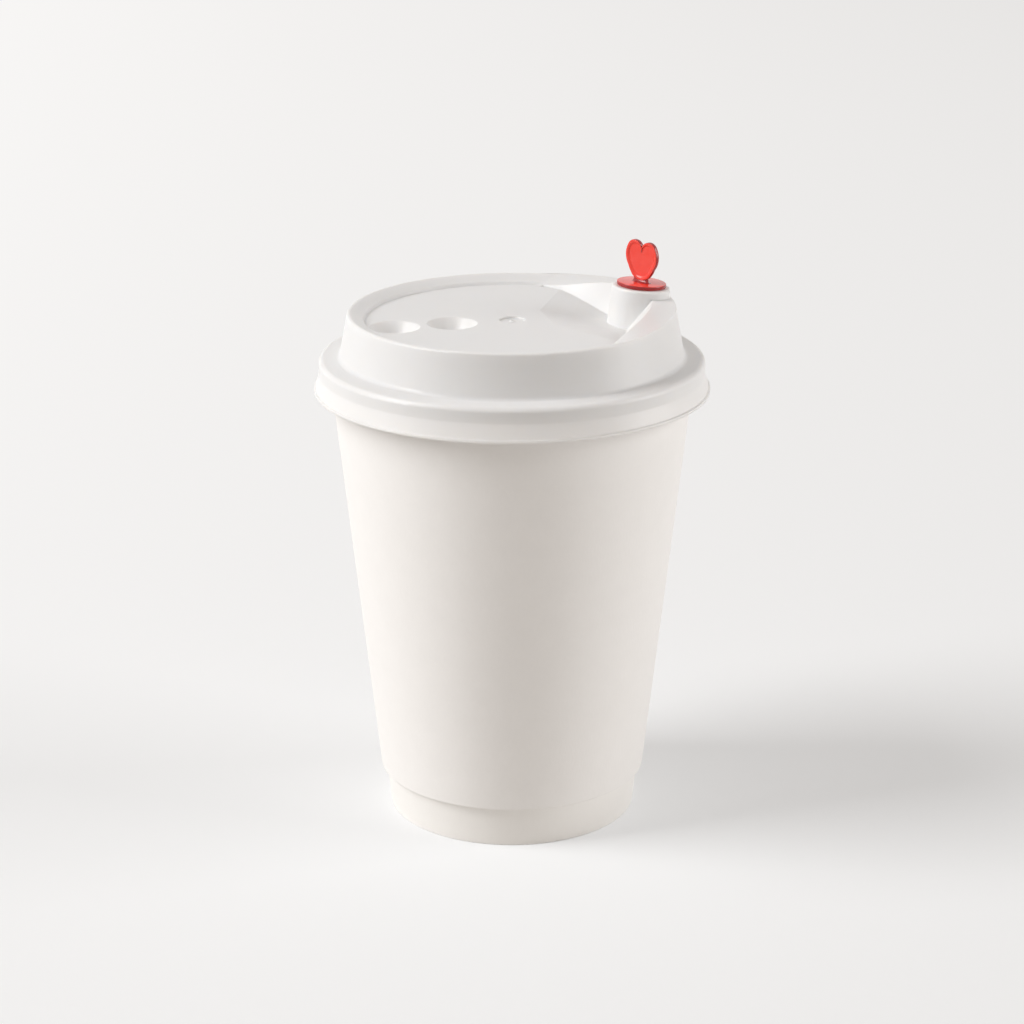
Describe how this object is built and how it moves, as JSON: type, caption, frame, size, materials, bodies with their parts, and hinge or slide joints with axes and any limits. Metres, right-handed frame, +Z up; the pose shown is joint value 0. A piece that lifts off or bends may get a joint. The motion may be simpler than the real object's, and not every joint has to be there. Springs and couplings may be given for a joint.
{
  "type": "paper coffee cup",
  "caption": "Double-wall paper coffee cup with a push-on plastic lid, a leaning drinking spout and a heart-topped stopper in the spout.",
  "frame": {"origin": "middle of the foot, on the surface the cup stands on", "axes": "+Z up along the cup, +X towards the lid's drinking spout, +Y to the left of the spout"},
  "size_m": [0.0942, 0.0942, 0.1398],
  "materials": {
    "cup_paper": "smooth coated board",
    "sleeve_paper": "matte uncoated board",
    "lid_plastic": "satin moulded",
    "stopper_plastic": "glossy moulded"
  },
  "bodies": {
    "cup": {"inner_cup": "cup_paper", "bottom_disc": "cup_paper", "outer_sleeve": "sleeve_paper"},
    "lid": {"lid": "lid_plastic"},
    "stopper": {"stopper": "stopper_plastic"}
  },
  "joints": [
    {"name": "lid_lift", "type": "slide", "parent": "cup", "child": "lid", "axis": [0, 0, 1], "range_m": [0, 0.025]},
    {"name": "stopper_pull", "type": "slide", "parent": "lid", "child": "stopper", "axis": [0.0802, 0, 0.9968], "range_m": [0, 0.012]}
  ]
}
